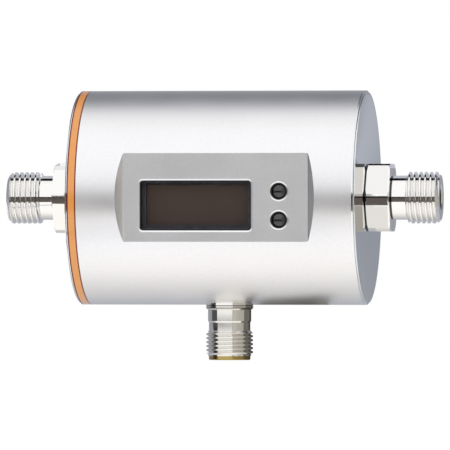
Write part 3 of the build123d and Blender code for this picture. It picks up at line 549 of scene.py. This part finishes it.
# Painted shade in two places: the groove, with a little over for its walls, and the corner where the neck
# starts.
groove_half = (hex_start - collar_end) / 2
band_margin = 1.01
neck_shade_half = 0.15 * mm
painted_groove_shade = ((hex_start - groove_half, band_margin * groove_half), (hex_end + neck_shade_half, neck_shade_half))
bright_steel = turned_metal("turned_polished_steel", "#F0EFEE", 0.09, bands=painted_groove_shade)
for end, side, hex_turn, thread_turn in (("outlet", 1, 0, 0.387), ("inlet", -1, -6, 0.887)):
    piece = nipple(f"{end}_nipple_turned", side, hex_turn, thread_turn)
    dress(bright_steel, piece.name)
    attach(piece, "housing")
    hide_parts(f"{end}_nipple")

# The dished end plates are faced and polished: their lines are rings, which soften what they mirror a
# little, and are drawn 1.5 mm apart. The lock nuts inside are plated, and show a duller grey.
plate_steel = turned_metal("faced_plate_steel", "#E8EAEE", 0.1, line_gap=1.5 * mm, wave_type="RINGS")
dress(plate_steel, "outlet_end_plate", "inlet_end_cap")
dress(turned_metal("plated_nut_steel", "#C9CBCD", 0.28), "inlet_lock_nut", "outlet_lock_nut")


# Studio cards round the nipples.
# The tent's own bands fit the drum. Small curved cards, which glow inwards and which only mirrored rays see,
# stand round the polished nipples for the black line, the brown band and the greys that show in them.
def glowing_card(name, points, shade):
    """A card over a grid of points. Its shade is one colour, or else stops of height and level that fade."""
    rows, columns = points.shape[:2]
    at = np.arange(rows * columns).reshape(rows, columns)
    quads = np.stack([at[:-1, :-1], at[:-1, 1:], at[1:, 1:], at[1:, :-1]], axis=-1).reshape(-1, 4)
    mesh = bpy.data.meshes.new(name)
    mesh.from_pydata(points.reshape(-1, 3), [], quads)
    card = bpy.data.objects.new(name, mesh)
    bpy.context.scene.collection.objects.link(card)
    card.visible_camera = card.visible_diffuse = card.visible_shadow = card.visible_transmission = False
    finish, tree = new_finish(name)
    if isinstance(shade, list):
        place = add(tree, "ShaderNodeTexCoord").outputs["Object"]
        height = add(tree, "ShaderNodeSeparateXYZ", Vector=place).outputs["Z"]
        low, high = points[..., 2].min(), points[..., 2].max()
        share = add(tree, "ShaderNodeMapRange", Value=height, From_Min=low,
                    From_Max=high).outputs["Result"]
        stops = [((z - low) / (high - low), light(level)) for z, level in shade]
        shade = add(tree, "ShaderNodeValToRGB", Fac=share, stops=stops).outputs["Color"]
    glow = add(tree, "ShaderNodeEmission", Color=shade, Strength=1.0).outputs["Emission"]
    gone = add(tree, "ShaderNodeBsdfTransparent", Color=light(1)).outputs["BSDF"]
    outside = add(tree, "ShaderNodeNewGeometry").outputs["Backfacing"]
    one_sided = add(tree, "ShaderNodeMixShader", Fac=outside, Shader=glow, Shader_001=gone).outputs[0]
    add(tree, "ShaderNodeOutputMaterial", Surface=one_sided)
    mesh.materials.append(finish)


# The lens looks from the outlet's side, so what a nipple mirrors lies a little toward the inlet.
mirror_drift = 1.5 * mm
card_columns = 17


def card_round(side, ends, radius, angles):
    """Points round the flow axis, between two places along it and two angles from the front upwards.

    At each angle -y is the radius times its cosine, and z the radius times its sine.
    """
    angle = np.radians(np.linspace(*angles, card_columns))
    points = np.empty((2, card_columns, 3))
    points[..., 0] = np.sort(side * np.array(ends))[:, None] - mirror_drift
    points[..., 1] = -radius * np.cos(angle)
    points[..., 2] = radius * np.sin(angle)
    return points


# How far the cards stand from the flow axis, the stretches of it that they span, and their common shades.
near, far = 12 * mm, 16 * mm
collar = (33.8 * mm, 37.1 * mm)
hexagon = (36.6 * mm, 42.9 * mm)
both = (34.4 * mm, 43.6 * mm)
neck = (42.9 * mm, 63.5 * mm)
hexagon_top = (36.8 * mm, 42.9 * mm)
inlet_top = (37 * mm, 42.8 * mm)
black, grey = light(0.005), light(0.62, cool)
neck_brown = light(0.125, brown)
for name, side, ends, radius, angles, shade in (
    ("brown_outlet_card", 1, both, near, (-26.8, -0.3), light(0.118, brown)),
    ("black_outlet_card", 1, both, near, (-0.3, 2.5), black),
    ("white_outlet_top_card", 1, hexagon, far, (25, 89.5), light(1.03)),
    ("pale_outlet_low_card", 1, hexagon, far, (-80, -36.5), light(0.88, warm)),
    ("pale_collar_top_card", 1, collar, near, (20, 62.5), light(0.76, warm)),
    ("dark_collar_top_card", 1, collar, near, (62.5, 84), light(0.08)),
    ("beige_collar_low_card", 1, collar, near, (-84, -27.5), light(0.40, beige)),
    ("black_outlet_top_card", 1, hexagon_top, far, (89.5, 100), black),
    ("black_outlet_neck_card", 1, neck, far, (85.5, 105.2), black),
    ("grey_outlet_neck_card", 1, neck, far, (105.2, 152), grey),
    ("brown_outlet_neck_card", 1, neck, far, (-18.6, -11), neck_brown),
    ("brown_inlet_neck_card", -1, neck, far, (-18.6, -11), neck_brown),
    ("brown_inlet_card", -1, hexagon, far, (-13.4, -9.5), neck_brown),
    ("dark_inlet_card", -1, hexagon, far, (17.5, 24.4), light(0.055, brown)),
    ("white_inlet_top_card", -1, inlet_top, far, (70, 165), light(0.95)),
    ("black_inlet_neck_card", -1, neck, far, (85.5, 105.2), black),
    ("grey_inlet_neck_card", -1, neck, far, (105.2, 152), grey),
):
    glowing_card(name, card_round(side, ends, radius, angles), shade)


# Display window.
# A clear acrylic pane with a bevelled edge, polished like glass, in a dull black rubber gasket. Behind it
# lie a black printed mask, the smoked brown filter sheet and the display module, which show dark and even.

# Light goes straight through the acrylic, and only its outside mirrors, or light would be caught inside.
acrylic, tree = new_finish("clear_acrylic")
wear_size = 2 * mm
place = add(tree, "ShaderNodeTexCoord").outputs["Object"]
wear = add(tree, "ShaderNodeTexNoise", Vector=place, Scale=1 / wear_size, Detail=3.0).outputs["Fac"]
polish = add(tree, "ShaderNodeMapRange", Value=wear, **noise_span, To_Min=0.02,
             To_Max=0.05).outputs["Result"]
through = add(tree, "ShaderNodeBsdfTransparent", Color=srgb("#F6F6F7")).outputs["BSDF"]
shine = add(tree, "ShaderNodeBsdfGlossy", Color=light(1), Roughness=polish).outputs["BSDF"]
mirror_share = add(tree, "ShaderNodeFresnel", IOR=1.49).outputs["Fac"]
outer = add(tree, "ShaderNodeMixShader", Fac=mirror_share, Shader=through, Shader_001=shine).outputs[0]
inside = add(tree, "ShaderNodeNewGeometry").outputs["Backfacing"]
clear = add(tree, "ShaderNodeMixShader", Fac=inside, Shader=outer, Shader_001=through).outputs[0]
add(tree, "ShaderNodeOutputMaterial", Surface=clear)
dress(acrylic, "window_pane")
black_rubber = plastic("black_rubber", "#101012", 0.5)
dress(black_rubber, "window_gasket", "button_seal_upper", "button_seal_lower")
dress(black_rubber, "cap_o_ring", "inlet_o_ring", "outlet_o_ring", "carrier_o_ring")
dress(plastic("printed_black_mask", "#46454C", 0.45), "window_bezel")
dress(plastic("smoked_brown_filter", "#5C4A3F", 0.35, deep=0.96), "display_filter")
dress(plastic("display_module_case", "#2E2E30", 0.5), "display_module")


# Buttons.
# Two moulded caps of smooth, shiny black rubber, each domed, with a sloping shoulder, a collar that holds it
# in, and a stem that reaches its switch. Each presses half a millimetre into its seal.
cap_columns = 96


def carried_round(x, z, path):
    """A profile of (depth, radius) points carried round the axis along Y that crosses (x, z).

    At each angle the radius times its cosine adds to x, and the radius times its sine to z.
    """
    depth, radius = np.array(path).T
    angle = np.linspace(0, 2 * pi, cap_columns, endpoint=False)
    grid = np.empty((len(path), cap_columns, 3))
    grid[..., 0] = x + radius[:, None] * np.cos(angle)
    grid[..., 1] = depth[:, None]
    grid[..., 2] = z + radius[:, None] * np.sin(angle)
    return grid


dome_radius = 1.35 * mm
dome_height = 0.35 * mm
dome_rows = 13
shoulder_fall = 0.12 * mm
cap_radius = 1.75 * mm
cap_edge = 0.08 * mm
retainer_front, retainer_back = 0.1 * mm, 0.9 * mm
button_skin = plastic("smooth_black_rubber", "#17171A", 0.15, coat=1.0)
for level in ("upper", "lower"):
    low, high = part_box(f"button_{level}")
    seal_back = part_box(f"button_seal_{level}")[1][1]
    centre_x, centre_z = (low[0] + high[0]) / 2, (low[2] + high[2]) / 2
    front, end = low[1], high[1]
    retainer_radius = (high[0] - low[0]) / 2
    # The dome is a cap of a sphere, whose radius is (dome radius squared + height squared) / (2 * height).
    sphere = (dome_radius**2 + dome_height**2) / (2 * dome_height)
    lean = np.linspace(0, np.arcsin(dome_radius / sphere), dome_rows)
    dome = list(zip(front + sphere * (1 - np.cos(lean)), sphere * np.sin(lean)))
    shoulder = front + dome_height + shoulder_fall
    path = dome + [
        (shoulder, cap_radius - cap_edge),
        (shoulder + cap_edge, cap_radius),
        (seal_back + retainer_front, cap_radius),
        (seal_back + retainer_front, retainer_radius),
        (seal_back + retainer_back, retainer_radius),
        (seal_back + retainer_back, cap_radius),
        (end, cap_radius),
        (end, 0),
    ]
    piece = closed_piece(f"button_{level}_cap", carried_round(centre_x, centre_z, path))
    dress(button_skin, piece.name)
    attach(piece, f"button_{level}")
    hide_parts(f"button_{level}")

# The switches behind them are moulded in a plain dark plastic, which shows dull.
switch_case = plastic("moulded_switch_case", "#2A2A2C", 0.5)
dress(switch_case, "switch_upper", "switch_lower", "switch_plunger_upper", "switch_plunger_lower")


# Plug connector.
# A turned stainless barrel with an M12 x 1 thread and a collar that is saddled on the drum. It is bright
# like the nipples, with two lines cut in the collar whose bottoms carry painted shade. A gold-plated brass
# sleeve, warm and satin, lines its socket round a dull black carrier with shiny gold-plated pins.
connector_x = mounts["plug_thread"]["pos_m"][0]
shell_low, shell_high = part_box("connector_shell")
drum_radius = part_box("housing_tube")[1][1]
plug_crest = 5.9 * mm
plug_pitch = 1.0 * mm

# A metric thread is 0.6134 of its pitch deep.
plug_depth = 0.6134 * plug_pitch
plug_root = plug_crest - plug_depth
plug_chamfer = 0.5 * mm
plug_turn = 0.53
socket_radius = 4.75 * mm
stem_radius = 5.0 * mm
neck_outer = 5.225 * mm
barrel_outer = 5.45 * mm
collar_outer = 6.0 * mm
collar_groove = 0.25 * mm
ring_groove_half = 0.12 * mm
collar_land = 0.5 * mm
barrel_length = 2.8 * mm
barrel_step = 0.4 * mm
plug_neck_length = 2.03 * mm
plug_length = 6.1 * mm
collar_grooves = [-drum_radius - drop for drop in (0.22 * mm, 0.77 * mm)]
barrel_start = collar_grooves[1] - collar_land
barrel_end = barrel_start - barrel_length
neck_start = barrel_end - barrel_step
plug_start = neck_start - plug_neck_length
plug_end = plug_start - plug_length
barrel_columns = 180
angle = np.linspace(0, 2 * pi, barrel_columns, endpoint=False)

# The saddle lies on the drum: its height is minus the root of the drum's radius squared less y squared.
saddle = -np.sqrt(drum_radius**2 - (collar_outer * np.sin(angle)) ** 2)

# The thread's height is taken at angle / turn less z / pitch, and a cone cuts it off at each end.
row_count = int(rows_per_pitch * (plug_start - plug_end) / plug_pitch)
thread_rows = np.linspace(plug_start, plug_end, row_count)
helix = -thread_rows[:, None] / plug_pitch + angle[None, :] / (2 * pi) + plug_turn
threaded = plug_root + (plug_crest - plug_root) * thread_form(helix)
end_cone = plug_crest - plug_chamfer + (thread_rows - plug_end)
start_cone = neck_outer + (plug_start - thread_rows)
threaded = np.minimum(threaded, np.minimum(end_cone, start_cone)[:, None])
socket = [(shell_low[2], socket_radius), (shell_high[2], socket_radius), (shell_high[2], stem_radius)]
saddle_radii = [stem_radius, collar_outer]
barrel = [
    (z + shift, collar_outer - depth)
    for z in collar_grooves
    for shift, depth in ((ring_groove_half, 0), (0, collar_groove), (-ring_groove_half, 0))
]
barrel += [(barrel_start, barrel_outer), (barrel_end, barrel_outer), (neck_start, neck_outer)]
blank = np.ones_like(angle)
reach = np.concatenate([
    [radius * blank for _, radius in socket],
    [radius * blank for radius in saddle_radii],
    [radius * blank for _, radius in barrel],
    threaded,
    [(plug_crest - plug_chamfer) * blank],
])
height = np.concatenate([
    [z * blank for z, _ in socket],
    [saddle for _ in saddle_radii],
    [z * blank for z, _ in barrel],
    thread_rows[:, None] * blank,
    [shell_low[2] * blank],
])
grid = np.empty((*reach.shape, 3))
grid[..., 0] = connector_x + reach * np.cos(angle)
grid[..., 1] = reach * np.sin(angle)
grid[..., 2] = height
thread_from = len(socket) + len(saddle_radii) + len(barrel)
piece = closed_piece("connector_barrel_turned", grid, thread_from, len(thread_rows))
# Painted shade: only the bottom of each cut is drawn dark.
cut_shade_half = 0.04 * mm
painted_cut_shade = [(-z, cut_shade_half) for z in collar_grooves]
barrel_steel = turned_metal("turned_connector_steel", "#EAE8E4", 0.09, axis="Z", bands=painted_cut_shade)
dress(barrel_steel, piece.name)
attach(piece, "housing")
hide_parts("connector_shell")
dress(turned_metal("gold_plated_brass", "#B09A5C", 0.24, axis="Z"), "connector_sleeve")
dress(turned_metal("gold_plated_contact", "#E0BC66", 0.2, axis="Z"), "contact_pins")
dress(plastic("black_carrier_plastic", "#141415", 0.45), "contact_carrier")


# Studio cards round the connector.
# The connector hangs low, where the tent has no slit in front. A curved card stands for that there, a little
# greyer below the collar, as a table's edge would show, and dark ones stand at its sides. Their angles are
# counted from the front, positive toward the outlet.
front_radius, side_radius = 70 * mm, 25 * mm
low_card_columns = 42
front_shade = [
    (-75 * mm, 1.15),
    (-34.4 * mm, 1.1),
    (-33.5 * mm, 0.38),
    (-31.8 * mm, 0.47),
    (-30.4 * mm, 1.05),
    (-27 * mm, 1.15),
    (-25 * mm, 1.3),
]
for name, radius, turns, heights, shade in (
    ("low_front_card", front_radius, (22.5, -59.5), (-75 * mm, -25 * mm), front_shade),
    ("low_side_card", front_radius, (-59.5, -98), (-33.6 * mm, -28 * mm), light(0.09)),
    ("low_right_card", side_radius, (128, 84), (-60 * mm, -27 * mm), light(0.17, beige)),
    ("low_back_card", side_radius, (172, 128), (-60 * mm, -27 * mm), light(0.07, beige)),
):
    angle = np.radians(np.linspace(*turns, low_card_columns))
    points = np.empty((2, low_card_columns, 3))
    points[..., 0] = connector_x + radius * np.sin(angle)
    points[..., 1] = -radius * np.cos(angle)
    points[..., 2] = np.array(heights)[:, None]
    glowing_card(name, points, shade)


# Measuring tube and magnet.
# The insulating tube is machined from a natural plastic, dull and tan, and holds two bright electrodes. Round
# it a satin grey circuit of zinc-plated soft iron carries two bobbins of pale moulded plastic. They are wound
# with enamelled copper wire about 0.3 mm thick, which shines in fine rings.
dress(plastic("machined_insulating_plastic", "#C9AE86", 0.5), "measuring_tube")
electrode_steel = turned_metal("ground_electrode_steel", "#D3D4D6", 0.2, axis="Y")
dress(electrode_steel, "electrode_front", "electrode_rear")
nut_steel = turned_metal("electrode_nut_steel", "#D0D0D2", 0.25, axis="Y")
dress(nut_steel, "electrode_nut_front", "electrode_nut_rear")
soft_iron = satin_metal("zinc_plated_iron", "#C4C7CC", 0.36, grain_size=0.3 * mm)
dress(soft_iron, "pole_piece_upper", "pole_piece_lower", "yoke")
dress(plastic("natural_bobbin_plastic", "#E6E1D3", 0.45), "coil_bobbin_upper", "coil_bobbin_lower")
wire_thickness = 0.3 * mm
copper = turned_metal("enamelled_copper_wire", "#C46F45", 0.3, axis="Z", line_gap=wire_thickness)
dress(copper, "coil_winding_upper", "coil_winding_lower")

# The magnet's and the boards' screws are zinc-plated steel, a plain bright grey.
screw_steel = turned_metal("zinc_plated_screw_steel", "#CBCCCE", 0.3, axis="Z")
dress(screw_steel, "yoke_screw_upper", "yoke_screw_lower", "board_screws")


# Chassis and boards.
# A dull black moulded chassis stands on the nipples' shanks and carries two circuit boards with a glossy
# green solder mask, which a ribbon of shiny amber film joins.
dress(plastic("black_chassis_plastic", "#1E1E20", 0.5), "chassis")
dress(plastic("green_circuit_board", "#1B5E3A", 0.35, deep=0.85), "display_board", "main_board")
dress(plastic("amber_ribbon_film", "#C4802F", 0.3), "ribbon_link")
